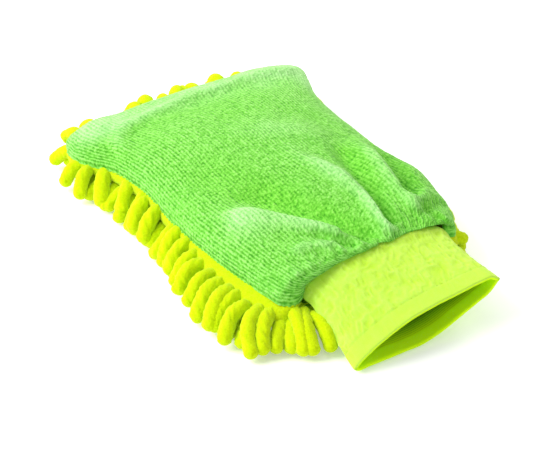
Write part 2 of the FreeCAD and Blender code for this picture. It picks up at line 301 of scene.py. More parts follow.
def chenille_material(
    name="chenille", dark=(0.46, 0.63, 0.0), mid=(0.60, 0.80, 0.002), light=(0.69, 0.88, 0.02),
):
    """Soft short pile, lime yellow."""
    m, nodes, links, shader = material(name)
    where = coordinates(nodes, links)
    tufts = noise_tex(nodes, links, where, 0.9, 3, 0.6)
    pile = noise_tex(nodes, links, where, 2.6, 2, 0.6)
    broad = noise_tex(nodes, links, where, 0.07, 1)
    lift = math_node(
        nodes, links, "ADD",
        math_node(nodes, links, "MULTIPLY", tufts, 0.6), math_node(nodes, links, "MULTIPLY", pile, 0.4),
    )
    # painted shade: darker where the pile's bump is low, in its crevices
    colour = ramp(nodes, links, lift, [(0.25, dark), (0.5, mid), (0.72, light)])
    colour = mix(nodes, links, math_node(nodes, links, "MULTIPLY", broad, 0.3), colour, mid)
    links.new(colour, shader.inputs["Base Color"])
    cloth_look(shader, 0.95, 0.34, 0.45, (1.0, 1.0, 0.3))
    shader.inputs["Specular IOR Level"].default_value = 0.02
    shader.inputs["Subsurface Weight"].default_value = 0.12
    shader.inputs["Subsurface Radius"].default_value = (0.8, 1.0, 0.15)
    shader.inputs["Subsurface Scale"].default_value = 0.003
    links.new(bump(nodes, links, lift, 0.9, 0.8), shader.inputs["Normal"])
    return m


def knit_material(name, stops, along=1.2, lines=0.0, sheen=0.2, tint=(1.0, 1.0, 0.5)):
    """Fine knit on a sheet's own coordinates, with painted shade and light from the sheet's pile attribute in its
    colour (on the cuff, painted shade in the crinkles' hollows), and crosswise lines if asked.
    """
    m, nodes, links, shader = material(name)
    grain = noise_tex(nodes, links, coordinates(nodes, links, (1, along, 1), "cloth"), 1.6, 3, 0.6)
    crinkle = nodes.new("ShaderNodeAttribute")
    crinkle.attribute_name = "pile"
    wave = nodes.new("ShaderNodeTexWave")
    wave.wave_type, wave.bands_direction = "BANDS", "Y"
    wave.inputs["Scale"].default_value = 0.26
    wave.inputs["Distortion"].default_value = 0.4
    links.new(coordinates(nodes, links, attribute="cloth"), wave.inputs["Vector"])
    lift = math_node(
        nodes, links, "ADD",
        math_node(nodes, links, "MULTIPLY", grain, 0.4),
        math_node(nodes, links, "MULTIPLY", wave.outputs["Fac"], 0.2 * lines),
    )
    lift = math_node(nodes, links, "ADD", lift, math_node(nodes, links, "MULTIPLY", crinkle.outputs["Fac"], 0.6))
    links.new(ramp(nodes, links, lift, stops), shader.inputs["Base Color"])
    cloth_look(shader, 0.9, sheen, 0.5, tint)
    shader.inputs["Specular IOR Level"].default_value = 0.05
    links.new(bump(nodes, links, lift, 0.25, 0.6), shader.inputs["Normal"])
    return m


def thread_material(name, colour):
    m, nodes, links, shader = material(name)
    grain = noise_tex(nodes, links, coordinates(nodes, links), 3.0, 2)
    dark = tuple(c * 0.7 for c in colour)
    links.new(ramp(nodes, links, grain, [(0.3, dark), (0.7, colour)]), shader.inputs["Base Color"])
    cloth_look(shader, 0.7, 0.2)
    links.new(bump(nodes, links, grain, 0.1, 0.5), shader.inputs["Normal"])
    return m


TERRY = terry_material()
CHENILLE = chenille_material()
BACKING = chenille_material("chenille_backing", (0.44, 0.60, 0.0), (0.58, 0.76, 0.004), (0.66, 0.83, 0.03))
# stops run from painted shade in the crinkles' hollows up to the last stop, painted light on the inner hem
KNIT = knit_material("yellow_knit", [
    (0.22, (0.36, 0.62, 0.01)), (0.42, (0.455, 0.72, 0.05)), (0.62, (0.50, 0.77, 0.095)),
    (0.82, (0.56, 0.81, 0.15)), (0.92, (0.60, 0.96, 0.0)),
])
# painted light: a little glow that lifts the knit's shade, and some scatter, as light comes through the thin knit
for socket, value in (
    ("Emission Color", (0.5, 0.9, 0.01, 1)), ("Emission Strength", 0.07), ("Subsurface Weight", 0.25),
    ("Subsurface Radius", (0.9, 1.0, 0.1)), ("Subsurface Scale", 0.004),
):
    KNIT.node_tree.nodes["Principled BSDF"].inputs[socket].default_value = value
# its dark stops are painted shade inside the cuff's mouth
LINING = knit_material("green_lining", [
    (0.12, (0.012, 0.085, 0.003)), (0.36, (0.05, 0.23, 0.005)),
    (0.66, (0.32, 0.66, 0.006)), (0.95, (0.66, 0.98, 0.004)),
], lines=1.0, sheen=0.05, tint=(0.6, 1.0, 0.3))
GREEN_THREAD = thread_material("green_thread", (0.20, 0.62, 0.06))
YELLOW_THREAD = thread_material("yellow_thread", (0.56, 0.76, 0.04))
ELASTIC = thread_material("elastic", (0.75, 0.78, 0.65))


# ---------------------------------------------------------------- the body's edges

# v from the wrist seam, 0, to the finger end, 1: X, along, Z of the green panel's edge.
LEFT_EDGE = [
    (0.00, -43.5, 0, 20.5), (0.03, -51, -5.0, 20.5), (0.06, -58, -3.0, 21), (0.10, -62, 8, 21.5),
    (0.20, -66, 30, 21.5), (0.36, -70, 64, 21.5), (0.52, -71.5, 100, 21.5), (0.70, -70.5, 145, 22),
    (0.80, -76, 170, 21.5), (0.88, -84, 186, 20), (0.94, -89, 199, 20), (0.975, -88.5, 208, 21.5),
    (1.00, -82, 215, 24),
]
RIGHT_EDGE = [
    (0.00, 53.5, 0, 26), (0.03, 59, -1.5, 24), (0.07, 66, 6, 23), (0.12, 71.5, 16, 22.5),
    (0.20, 76, 34, 22), (0.36, 79, 66, 22), (0.52, 74.5, 100, 22), (0.70, 73.5, 143, 23),
    (0.82, 77.5, 172, 24), (0.90, 83.5, 190, 25), (0.965, 86, 204, 26), (1.00, 80, 212.5, 27.5),
]
# Rise of the back's middle above its edges, and how round it is across.
RISE = [
    (0.00, 13.5, 0.52), (0.015, 15.5, 0.55), (0.05, 19.0, 0.62), (0.12, 22.0, 0.72), (0.25, 24.5, 0.80),
    (0.45, 26.0, 0.82),
    (0.62, 25.5, 0.80), (0.74, 23.5, 0.76), (0.82, 20.5, 0.68), (0.88, 17.6, 0.60), (0.925, 15.8, 0.55),
    (0.95, 13.8, 0.52),
    (0.975, 10.4, 0.50), (0.99, 6.0, 0.50), (1.00, 0.8, 0.6),
]
TIP_BOW = [(0.0, 0.0), (0.6, 1.0), (1.0, 8.0)]
# Folds of the back: points (X, along), height, half width on the left and on the right, at each end.
FOLDS = [
    ([(-56, 72), (-41, 53), (-26, 32), (-13, 14)], 4.4, (13, 6), (5.5, 3)),
    ([(-46, 88), (-30, 62), (-17, 41), (-7, 23), (0, 6)], -6.4, (8, 4), (24, 8)),
    ([(6, 96), (14, 72), (19, 54), (20, 34), (17, 16), (12, 2)], 4.2, (9, 4), (7, 4)),
    ([(40, 98), (35, 70), (30, 48), (26, 30), (21, 10)], -6.2, (7, 4), (8, 4)),
    ([(56, 92), (50, 66), (46, 46), (43, 30), (41, 12)], 4.2, (6, 4), (6, 4)),
    ([(67, 84), (61, 58), (56, 42), (50, 29)], -6.6, (7, 5), (8, 5)),
    ([(42, 16), (50, 20), (58, 27)], 2.6, (4, 4), (4, 5)),
    ([(40, 9), (54, 12), (68, 18)], -2.4, (4, 4), (4, 4)),
    ([(-46, 15), (-34, 14), (-22, 8)], 2.4, (5, 4), (5, 4)),
    ([(-28, 23), (-19, 12), (-10, 2)], -3.0, (4, 3), (4, 3)),
    ([(-74, 150), (-68, 166), (-66, 180), (-56, 190), (-34, 194), (0, 197), (40, 199),
    (70, 197)], 2.6, (5, 6), (5, 5)),
    ([(-84, 178), (-76, 172), (-72, 160)], -2.4, (6, 6), (6, 5)),
    ([(-60, 168), (-46, 178), (0, 184), (50, 186)], -1.6, (12, 12), (12, 12)),
    ([(-20, 146), (10, 124), (34, 104)], 1.2, (14, 14), (14, 14)),
    ([(24, 152), (44, 126), (52, 104)], -1.4, (10, 10), (12, 12)),
    ([(-44, 124), (-34, 96), (-30, 76)], -1.2, (12, 12), (12, 12)),
]
BLOBS = [((-66, 203), 4.5, 15), ((66, 56), 1.6, 16), ((-4, 150), -1.4, 22), ((-52, 46), 1.5, 18), ((52, 200), 1.5, 20)]


def back_base(u, v):
    """The back without its folds; u runs left to right and v from wrist to finger end."""
    left, right = smooth(LEFT_EDGE, v), smooth(RIGHT_EDGE, v)
    rise = smooth(RISE, v)
    c = ((1 - np.cos(np.pi * u)) / 2)[..., None]
    p = left + (right - left) * c
    arch = np.sin(np.pi * np.clip(u, 0, 1))
    p[..., 2] += rise[..., 0] * arch ** rise[..., 1]
    p[..., 1] += smooth(TIP_BOW, v) * arch ** 0.8
    # the gathers roll over the cuff
    roll = np.exp(-(((v - 0.016) / 0.013) ** 2))
    scallop = 1 + 0.45 * noise2(p[..., 0], 0 * u, 5.5, 3)
    p[..., 1] += 1.5 - 1.5 * step(0, 0.012, v) - 1.4 * roll * scallop * step(0, 0.15, arch)
    p[..., 2] += (0.5 * roll * scallop - 1.6 * (1 - step(0, 0.008, v))) * arch ** 0.5
    p[..., 1] += WRIST
    return p


def fold_height(x, along, u, v):
    """Height of the folds at a place on the back, smaller towards its edges."""
    h = np.zeros(np.shape(x))
    for points, height, left, right in FOLDS:
        d, side, place = to_line(x, along, points)
        width = np.where(side > 0, left[0] + (left[1] - left[0]) * place, right[0] + (right[1] - right[0]) * place)
        if points[0][1] > points[-1][1]:
            width = np.where(side < 0, left[0] + (left[1] - left[0]) * place, right[0] + (right[1] - right[0]) * place)
        h += height * (0.25 + 0.75 * step(0, 0.3, place)) * np.exp(-((d / width) ** 2))
    for (cx, cy), height, width in BLOBS:
        h += height * np.exp(-((x - cx) ** 2 + (along - cy) ** 2) / width ** 2)
    near_edge = step(0, 0.10, u) * step(0, 0.10, 1 - u) * step(0, 0.04, 1 - v)
    h *= 0.2 + 0.8 * near_edge
    # gathers fanning out from the wrist seam
    wave = noise2(x, along * 0.10, 5.0, 11) + 0.5 * noise2(x, along * 0.12, 3.0, 12)
    h += 2.3 * wave * np.exp(-np.maximum(along, 0) / 13) * step(0, 3.0, along + 3)
    h += (0.7 * noise2(x, along, 26, 21) + 0.35 * noise2(x, along, 12, 22)) * near_edge
    return h


def back_surface(u, v):
    p = back_base(u, v)
    n = normals(p)
    n = np.where(n[..., 2:3].mean() < 0, -n, n)
    h = fold_height(p[..., 0], p[..., 1] - WRIST, u, v)
    return p + n * h[..., None]


# ---------------------------------------------------------------- the terry back

RIBS = 77
ROWS = 318


def build_back():
    cols = RIBS * 4 + 1
    u = np.linspace(0, 1, cols)
    # even spacing over the cloth's width
    fine = np.linspace(0, 1, 801)
    mid = back_base(fine, np.full(801, 0.5))
    run = np.concatenate([[0], np.cumsum(np.linalg.norm(np.diff(mid, axis=0), axis=1))])
    u = np.interp(np.linspace(0, run[-1], cols), run, fine)
    length = np.linspace(0, 1, 801)
    ridge = back_base(np.full(801, 0.5), length)
    along = np.concatenate([[0], np.cumsum(np.linalg.norm(np.diff(ridge, axis=0), axis=1))])
    v = np.interp(np.linspace(0, along[-1], ROWS), along, length)
    U, V = np.meshgrid(u, v)
    base = back_base(U, V)
    p = back_surface(U, V)
    n = normals(p)
    if n[..., 2].mean() < 0:
        n = -n
    cx = np.linspace(0, run[-1], cols)[None, :] + 0 * V
    cy = np.linspace(0, along[-1], ROWS)[:, None] + 0 * U
    # ribs wander a little, and each carries a string of loops
    phase = np.arange(cols)[None, :] / 4 + 0 * V
    rib = np.cos(2 * np.pi * (phase + 0.16 * noise2(cx, cy, 4.5, 31)))
    which = np.floor(phase + 0.5)
    loops = noise2(which * 7.3, cy + which * 3.1, 1.25, 32)
    jitter = noise2(cx, cy, 0.9, 33)
    flank = 1 - step(0.12, 0.42, U)
    ribbed = 0.11 + 0.10 * flank + 0.05 * noise2(cx, cy, 22, 35)
    pile = 0.5 + ribbed * rib + 0.15 * loops + 0.18 * jitter
    edge = step(0, 0.012, U) * step(0, 0.012, 1 - U) * step(0, 0.01, 1 - V)
    amplitude = (0.62 + 0.2 * noise2(cx, cy, 25, 34)) * (0.25 + 0.75 * edge)
    p = p + n * ((pile - 0.5) * amplitude)[..., None]
    # the edge rolls under
    roll = (1 - step(0, 0.02, U)) + (1 - step(0, 0.02, 1 - U)) + (1 - step(0, 0.012, 1 - V))
    p[..., 2] -= 0.9 * np.clip(roll, 0, 1) ** 2
    faces = grid_faces(ROWS, cols)
    cloth = np.stack([cx, cy, 0 * cx], -1).reshape(-1, 3)
    folds = fold_height(base[..., 0], base[..., 1] - WRIST, U, V)
    # painted shade: darker, yellower colour in the fold valleys and on the right of the wrist gathers, which face away
    # from the light
    shaded_right_gathers = step(0.5, 0.8, U) * (1 - step(0.35, 0.65, V))
    painted_fold_shade = np.clip(-folds / 5.0 + 0.7 * shaded_right_gathers, 0, 1.2)
    # painted highlight: paler colour on the fold crests, the finger end and the right edge, less on the shaded right of
    # the wrist gathers
    painted_highlight = (
        np.clip((folds - 0.6) / 3.2, 0, 1)
        + (0.35 + 0.8 * step(0.05, 0.30, U)) * step(0.87 - 0.11 * U, 0.98 - 0.05 * U, V)
        + 0.7 * (1 - step(0.02, 0.20, 1 - U)) * step(0.5, 0.8, V)
    )
    painted_highlight = np.clip(painted_highlight * (0.75 + 0.35 * noise2(cx, cy, 14, 36)) * (1 - 0.75 * shaded_right_gathers), 0, 1)
    return make(
        "terry_back", p.reshape(-1, 3), faces,
        {"cloth": cloth, "pile": pile.ravel(), "painted_fold_shade": painted_fold_shade.ravel(), "painted_highlight": painted_highlight.ravel()},
        "mitt", ["top_panel"],
    )


# ---------------------------------------------------------------- the chenille cloth below

# Rim of the palm's cloth where the outermost noodles are sewn: X, along, Z.
LEFT_RIM = [
    (0.00, -45, -1, 12), (0.03, -54, -6.5, 12.5), (0.06, -62, -6, 13), (0.10, -69, 2, 13.5),
    (0.20, -74, 28, 14), (0.36, -75, 62, 14), (0.52, -72.5, 100, 14), (0.70, -71, 145, 14),
    (0.80, -77, 170, 14), (0.88, -85, 187, 13.5), (0.95, -89, 201, 14), (1.00, -81, 214, 17),
]
RIGHT_RIM = [
    (0.00, 53, -1, 16), (0.03, 60, -3, 15), (0.07, 68, 4, 14.5), (0.12, 73.5, 14, 14),
    (0.20, 77.5, 33, 14), (0.36, 80.5, 66, 14), (0.52, 76, 100, 14), (0.70, 75, 143, 14),
    (0.82, 79, 172, 14), (0.90, 84, 190, 14.5), (0.96, 86.5, 203, 15.5), (1.00, 79, 212, 19),
]


def palm_surface(s, v):
    """The palm's cloth; s runs from the left seam down round the rim, across and up to the right seam."""
    left, right = smooth(LEFT_EDGE, v), smooth(RIGHT_EDGE, v)
    lrim, rrim = smooth(LEFT_RIM, v), smooth(RIGHT_RIM, v)
    left, right = left + [0.4, 0, -0.6], right + [-0.4, 0, -0.6]
    flat = 11.2 + 0.8 * np.exp(-((v - 0.0) / 0.05) ** 2)
    def under(rim, inwards, share):
        p = rim.copy()
        p[..., 0] += inwards
        p[..., 2] = flat if share else rim[..., 2]
        return p
    stops = [
        (0.0, left), (0.055, left * 0.45 + lrim * 0.55 + np.array([-0.8, 0, 1.2])),
        (0.10, lrim), (0.15, under(lrim, 7, 1)),
        (0.30, under(lrim, 30, 1)), (0.70, under(rrim, -30, 1)), (0.85, under(rrim, -7, 1)), (0.90, rrim),
        (0.945, right * 0.45 + rrim * 0.55 + np.array([0.8, 0, 1.2])), (1.0, right),
    ]
    at = np.array([a for a, _ in stops])
    values = np.stack([b for _, b in stops])
    m = np.gradient(values, at, axis=0)
    i = np.clip(np.searchsorted(at, s, "right") - 1, 0, len(at) - 2)
    pick = lambda arr: np.take_along_axis(arr, i[None, ..., None], 0)[0]
    a, b = pick(values), pick(values[1:])
    ma, mb = pick(m), pick(m[1:])
    h = (at[i + 1] - at[i])[..., None]
    t = ((s - at[i]) / (at[i + 1] - at[i]))[..., None]
    p = (1 + 2 * t) * (1 - t) ** 2 * a + t * (1 - t) ** 2 * h * ma + t * t * (3 - 2 * t) * b + t * t * (t - 1) * h * mb
    arch = np.sin(np.pi * s)
    p[..., 1] += smooth(TIP_BOW, v) * arch ** 0.8 + WRIST
    # the finger end turns up to the seam
    end = step(0.955, 1.0, v)
    top = 22.5 + 4.5 * s
    p[..., 2] = np.where(end > 0, p[..., 2] + (np.maximum(top, p[..., 2]) - p[..., 2]) * end ** 1.6, p[..., 2])
    p[..., 1] += 2.5 * np.sin(np.pi * np.clip((v - 0.955) / 0.045, 0, 1)) * arch ** 0.5
    # and so does the wrist end
    near = 1 - step(0.0, 0.035, v)
    p[..., 2] += near * (np.interp(s, [0, 0.1, 0.5, 0.9, 1], [0, 3.5, 2.5, 6, 0]))
    return p


def build_palm():
    rows, cols = 230, 200
    s, v = np.linspace(0, 1, cols), np.linspace(0, 1, rows)
    S, V = np.meshgrid(s, v)
    p = palm_surface(S, V)
    n = normals(p)
    broad = 0.35 * noise2(p[..., 0], p[..., 1], 6, 41)
    fine = 0.18 * noise2(p[..., 0], p[..., 1] + 3 * p[..., 2], 2.2, 42)
    p = p + n * (broad + fine)[..., None]
    cloth = np.stack([S * 190, V * 216, 0 * S], -1).reshape(-1, 3)
    return make(
        "chenille_cloth", p.reshape(-1, 3), grid_faces(rows, cols), {"cloth": cloth}, "mitt",
        ["chenille_backing"], flip=True,
    )


# ---------------------------------------------------------------- the cuff

# q from the left fold, 0, to the right fold, 1: X and Z of the upper and lower layers.
WRIST_UPPER = [
    (0, -44, 20.5), (0.06, -41, 26), (0.15, -31, 32), (0.30, -16, 36), (0.50, 6, 37.2),
    (0.72, 28, 37), (0.85, 40, 34.5), (0.95, 50, 30.5), (1, 54, 26),
]
WRIST_LOWER = [
    (0, -44, 20.5), (0.06, -41, 17.5), (0.2, -26, 15.6), (0.5, 4, 14.8),
    (0.8, 34, 17.5), (0.94, 49, 22), (1, 54, 26),
]
MOUTH_UPPER = [
    (0, -45, 4.0), (0.05, -42, 7.6), (0.15, -34, 13.0), (0.28, -22, 19.0), (0.42, -8, 24.2),
    (0.58, 8, 27.2), (0.74, 24, 29.0), (0.88, 39, 30.6), (0.96, 48, 30.2), (1, 53, 26.6),
]
MOUTH_LOWER = [
    (0, -45, 4.0), (0.04, -43, 2.0), (0.15, -33, 1.6), (0.35, -12, 1.5), (0.5, 2, 1.8),
    (0.62, 14, 5.0), (0.76, 28, 11.0), (0.88, 40, 16.4), (0.95, 47, 20.0), (1, 53, 26.6),
]


def cuff_point(a, b, inset):
    """The cuff's surface: a goes round, 0 to 1, upper layer first, and b from wrist to mouth."""
    upper = a < 0.5
    q = np.where(upper, a * 2, 2 - a * 2)
    q = (1 - np.cos(np.pi * q)) / 2 * 0.5 + q * 0.5
    w = np.where(upper[..., None], smooth(WRIST_UPPER, q), smooth(WRIST_LOWER, q))
    m = np.where(upper[..., None], smooth(MOUTH_UPPER, q), smooth(MOUTH_LOWER, q))
    t = (b * b * (3 - 2 * b) * 0.35 + b * 0.65)[..., None]
    xz = w + (m - w) * t
    # the tube narrows slightly behind the hem
    p = np.stack([xz[..., 0], WRIST - b * CUFF, xz[..., 1]], -1)
    waist = np.sin(np.pi * np.clip(b, 0, 1))
    centre = MIDDLE_X + 0 * b
    p[..., 0] = centre + (p[..., 0] - centre) * (1 - 0.022 * waist)
    half = 0.5 + 0 * a
    wrist_z = smooth(WRIST_UPPER, half)[..., 1] * 0.35 + smooth(WRIST_LOWER, half)[..., 1] * 0.65
    middle = wrist_z * (1 - b) + 15.0 * b
    if np.any(inset):
        c = np.stack([centre, p[..., 1], middle], -1)
        out = p - c
        out[..., 1] = 0
        # towards the layer opposite, so the folds stay closed
        d = np.gradient(p, axis=1)
        n = np.cross(d, np.array([0, 1.0, 0]))
        n /= np.maximum(np.linalg.norm(n, axis=-1, keepdims=True), 1e-9)
        sign = np.sign((n * out).sum(-1, keepdims=True).mean())
        p = p - sign * n * np.asarray(inset)[..., None]
    return p


def build_cuff():
    cols = 420
    a = np.linspace(0, 1, cols, endpoint=False)
    # outside, over the lip and back to the hem's inner edge
    b_out = np.linspace(-0.05, 1.0, 98)
    lip = np.linspace(0, np.pi, 9)[1:-1]
    b_in = np.linspace(1.0, 1 - 6.0 / CUFF, 16)
    b = np.concatenate([b_out, 1 + 0.022 * np.sin(lip), b_in])
    inset = np.concatenate([0 * b_out, 1.1 * (1 - np.cos(lip)), 2.2 + 0 * b_in])
    A, B = np.meshgrid(a, b)
    D = np.meshgrid(a, inset)[1]
    p = cuff_point(A, B, D)
    ring = p[50]
    run = np.concatenate([[0], np.cumsum(np.linalg.norm(np.diff(ring, axis=0), axis=1))])
    X = run[None, :] + 0 * B
    Y = B * CUFF
    d = np.gradient(p, axis=1)
    n = np.cross(d, np.array([0, 1.0, 0]))
    n /= np.maximum(np.linalg.norm(n, axis=-1, keepdims=True), 1e-9)
    if (n[:80, : cols // 2, 2]).mean() < 0:
        n = -n
    # puckers: crooked ridges along the cuff, fading at the hem
    def pucker(cell, stretch, seed):
        warp = 2.2 * noise2(X, Y, 9, seed + 5)
        k = noise2(X + warp, Y * stretch, cell, seed)
        return 1 - np.abs(k) * 2
    h = 0.38 * pucker(3.3, 0.5, 51) + 0.30 * pucker(2.1, 0.62, 52) + 0.12 * noise2(X, Y, 1.3, 53)
    crinkle = h.copy()
    body = step(1.0, 6.0, Y) * 0.35 + 0.65 * step(0.0, 3.0, Y)
    hem = 1 - step(CUFF - 10.5, CUFF - 8.5, Y)
    outside = D < 0.5
    h = np.where(outside, h * (0.26 + 0.74 * hem) * body * 0.85, 0.10 * noise2(X, Y, 3, 54))
    # the hem stands a little proud, with a stitched groove at its edge
    # painted shade darkens the crinkles' hollows outside; painted light brightens the inner hem, as if lit through the
    # knit
    crinkle = np.where(outside, 0.5 + 0.36 * crinkle * (0.3 + 0.7 * hem), 1.25)
    groove = 0.2 * np.exp(-((Y - CUFF + HEM) / 0.7) ** 2)
    h += np.where(outside, 0.22 * step(CUFF - HEM, CUFF - HEM + 1.4, Y) - groove, 0)
    h += np.where(outside, 0.5 * noise2(X, Y, 14, 55) * hem, 0)
    h += np.where(outside, 1.3 * np.exp(-(((Y - 1.5) / 4.0) ** 2)), 0)
    p = p + n * h[..., None]
    p[..., 2] = np.maximum(p[..., 2], 0.35)
    cloth = np.stack([X, Y, D], -1).reshape(-1, 3)
    return make(
        "knit_cuff", p.reshape(-1, 3), grid_faces(len(b), cols, True),
        {"cloth": cloth, "pile": crinkle.ravel()}, None, ["cuff_shell"],
    )


def build_cuff_lining():
    cols = 300
    a = np.linspace(0, 1, cols, endpoint=False)
    b = np.linspace(1 - 5.2 / CUFF, -0.03, 48)
    A, B = np.meshgrid(a, b)
    p = cuff_point(A, B, 2.5 + 0 * B)
    ring = p[20]
    run = np.concatenate([[0], np.cumsum(np.linalg.norm(np.diff(ring, axis=0), axis=1))])
    X, Y = run[None, :] + 0 * B, B * CUFF
    d = np.gradient(p, axis=1)
    n = np.cross(d, np.array([0, 1.0, 0]))
    n /= np.maximum(np.linalg.norm(n, axis=-1, keepdims=True), 1e-9)
    if (n[:, : cols // 2, 2]).mean() > 0:
        n = -n
    p = p + n * (0.35 * noise2(X, Y * 0.4, 6, 61))[..., None]
    p[..., 2] = np.maximum(p[..., 2], 1.2)
    cloth = np.stack([X, Y, 0 * X], -1).reshape(-1, 3)
    # painted shade: darker under the upper lip, and further in
    pile = np.clip(np.where(A < 0.5, 0.6, 1.55) - 4.6 * (1 - B), 0.02, 1.4)
    return make(
        "cuff_facing", p.reshape(-1, 3), grid_faces(len(b), cols, True),
        {"cloth": cloth, "pile": pile.ravel()}, None, ["cuff_lining"],
    )


def build_pocket():
    """The hand pocket's two lining panels, inside the back and the palm."""
    made = []
    rows, cols = 70, 60
    for name, node, surface in (
        ("back_lining_cloth", "back_lining", "back"), ("palm_lining_cloth", "palm_lining", "palm"),
    ):
        u, v = np.linspace(0.08, 0.92, cols), np.linspace(0.045, 0.955, rows)
        U, V = np.meshgrid(u, v)
        if surface == "back":
            p = back_surface(U, V)
            n = normals(p)
            n = n if n[..., 2].mean() > 0 else -n
            p = p - n * (3.4 + 2.2 * np.exp(-V / 0.06))[..., None]
        else:
            left, right = smooth(LEFT_EDGE, V), smooth(RIGHT_EDGE, V)
            c = ((1 - np.cos(np.pi * U)) / 2)[..., None]
            p = left + (right - left) * c
            p[..., 1] += smooth(TIP_BOW, V) * np.sin(np.pi * U) ** 0.8 + WRIST
            p[..., 2] -= 3 + 5.0 * np.sin(np.pi * U) ** 0.6 * np.minimum(1, (1 - V) * 8)
        p[..., 2] += 0.5 * noise2(p[..., 0], p[..., 1], 16, 71)
        cloth = np.stack([U * 160, V * 208, 0 * U], -1).reshape(-1, 3)
        made.append(make(
            name, p.reshape(-1, 3), grid_faces(rows, cols),
            {"cloth": cloth, "pile": (0.3 - 0.2 * V).ravel()}, "mitt", [node],
        ))
    return made


# ---------------------------------------------------------------- noodles

def tube(path, radius, around=30, spacing=0.85, seed=0):
    """A soft round-ended chenille strand along path (n, 3); returns points and faces."""
    path = np.array(path, float)
    runs = np.linalg.norm(np.diff(path, axis=0), axis=1)
    at = np.concatenate([[0], np.cumsum(runs)])
    length = at[-1]
    cap = np.linspace(0, np.pi / 2, 8)
    middle = np.linspace(radius, length - radius, max(5, int((length - 2 * radius) / spacing)))[1:-1]
    s = np.concatenate([radius * (1 - np.cos(cap)), middle, length - radius * (1 - np.cos(cap[::-1]))])
    size = np.maximum(np.concatenate([np.sin(cap), 1 + 0 * middle, np.sin(cap[::-1])]), 0.02)
    c = smooth([(t / length, *p) for t, p in zip(at, path)], s / length)
    t = np.gradient(c, s, axis=0)
    t /= np.linalg.norm(t, axis=1, keepdims=True)
    side = np.cross(t, np.array([0, 0, 1.0]))
    side /= np.maximum(np.linalg.norm(side, axis=1, keepdims=True), 1e-6)
    up = np.cross(side, t)
    q = np.linspace(0, 2 * np.pi, around, endpoint=False)
    S, Q = s[:, None] + 0 * q, q[None] + 0 * s[:, None]
    # tufts are looked up on the strand itself, so they close round it
    a, b = S + radius * 1.3 * np.cos(Q) + 17.3 * seed, radius * 1.3 * np.sin(Q) + 9.1 * seed
    tufts = 0.10 * noise2(a, b, 1.2, 82) + 0.045 * noise2(b + 40, a, 2.6, 83)
    swell = 0.075 * noise2(S + 31 * seed, 0 * Q, 6.0, 81)
    r = radius * size[:, None] * (1 + tufts + swell)
    ring = np.cos(q)[None, :, None] * side[:, None] + np.sin(q)[None, :, None] * up[:, None]
    p = c[:, None] + r[..., None] * ring
    return p.reshape(-1, 3), grid_faces(len(s), around, True)


def reach(root, end, bend=0.0, lift=2.0, sag=1.8):
    """A path from root to end (X, Y, Z), drooping; bend bows it sideways."""
    root, end = np.array(root, float), np.array(end, float)
    t = np.linspace(0, 1, 7)
    p = root + (end - root) * t[:, None]
    across = np.array([end[1] - root[1], root[0] - end[0]])
    across /= max(np.linalg.norm(across), 1e-6)
    p[:, :2] += across * (bend * np.sin(np.pi * t))[:, None]
    p[:, 2] = root[2] + (end[2] - root[2]) * t ** sag + lift * np.sin(np.pi * t) ** 1.2
    p[:, 2] = np.maximum(p[:, 2], 4.0)
    return p


def strand_path(root, heading, length, sag=None, curl=0.0, end_height=4.0, lift=0.0):
    """From root out along heading (degrees from +X towards +Y), drooping to the floor; curl bends it sideways."""
    root = np.array(root, float)
    t = np.linspace(0, 1, 6)
    turn = np.radians(heading + curl * (t - 0.3))
    fall = root[2] - end_height
    flat = math.sqrt(max(length ** 2 - fall ** 2, (0.35 * length) ** 2))
    dx, dy = np.cos(turn), np.sin(turn)
    x = root[0] + flat * np.concatenate([[0], np.cumsum((dx[1:] + dx[:-1]) / 2)]) / 5
    y = root[1] + flat * np.concatenate([[0], np.cumsum((dy[1:] + dy[:-1]) / 2)]) / 5
    z = root[2] - fall * (t ** 1.7 if sag is None else t ** sag) + lift * np.sin(np.pi * t)
    return np.stack([x, y, np.maximum(z, 4.0)], -1)


def strands(name, body, nodes, items, around=30, spacing=0.85):
    """One piece of many noodles; items are (path, radius)."""
    points, faces, off = [], [], 0
    for k, (path, radius) in enumerate(items):
        p, f = tube(path, radius, around, spacing, k + len(name))
        points.append(p)
        faces.append(f + off)
        off += len(p)
    p = np.concatenate(points)
    p[:, 2] = np.maximum(p[:, 2], 0.0)
    return make(name, p, np.concatenate(faces), None, body, nodes)


R = 4.25  # a noodle's radius


def left_noodles():
    """The side nearest the camera: each noodle's root and end (X, Y), sideways bend and thickness."""
    upper = [
        (-76, 88, -89, 67, 2.0, 1.14), (-72, 73, -84, 54, -2.0, 1.0), (-69, 61, -84, 50, 3.0, 1.0),
        (-68.5, 51, -84, 41, -1.5, 0.96),
        (-68.5, 41, -86.5, 32, 2.5, 1.02), (-69, 26, -87.5, 17, 2.0, 1.1), (-69.5, 12, -88, 2, -2.0, 1.0),
        (-69.5, -3, -86, -6, 2.5, 1.08),
        (-70.5, -14, -90, -20, 3.0, 1.05), (-72.5, -25, -92, -29, 2.0, 1.0),
        (-73.5, -36, -94.5, -38, 3.5, 1.08), (-74.5, -46, -96, -52, 2.0, 0.98),
        (-74.5, -55, -97.5, -66, 3.5, 1.1), (-74, -63, -96, -77, 2.5, 1.05),
    ]
    items = []
    for k, (x, y, ex, ey, bend, fat) in enumerate(upper):
        z = 14.2 if y > -18 else 12.6
        end = (ex, ey, 4.3 + (k % 3) * 0.9)
        items.append((reach((x + 7.5, y + 2.5, z), end, bend * 1.3, 4.0 + 1.2 * (k % 2)), R * fat))
    made = [strands("left_edge_noodles_upper", "left_edge_noodles", ["left_fringe"], items)]
    lower = []
    for k, y in enumerate(np.linspace(-66, 84, 17)):
        x = np.interp(y + 93.4, [28, 62, 100, 145, 170, 187], [-70, -71, -68, -67, -72, -78])
        end = (x - 18.5 + rng.uniform(-2.5, 1.5), y - 5 + rng.uniform(-6, 5), 4.1)
        lower.append((reach((x + 2, y + 4, 10), end, rng.uniform(-3, 3), 0.6, 1.2), R))
    made.append(strands("left_palm_noodles", "mitt", ["palm_noodles_left_4"], lower))
    return made


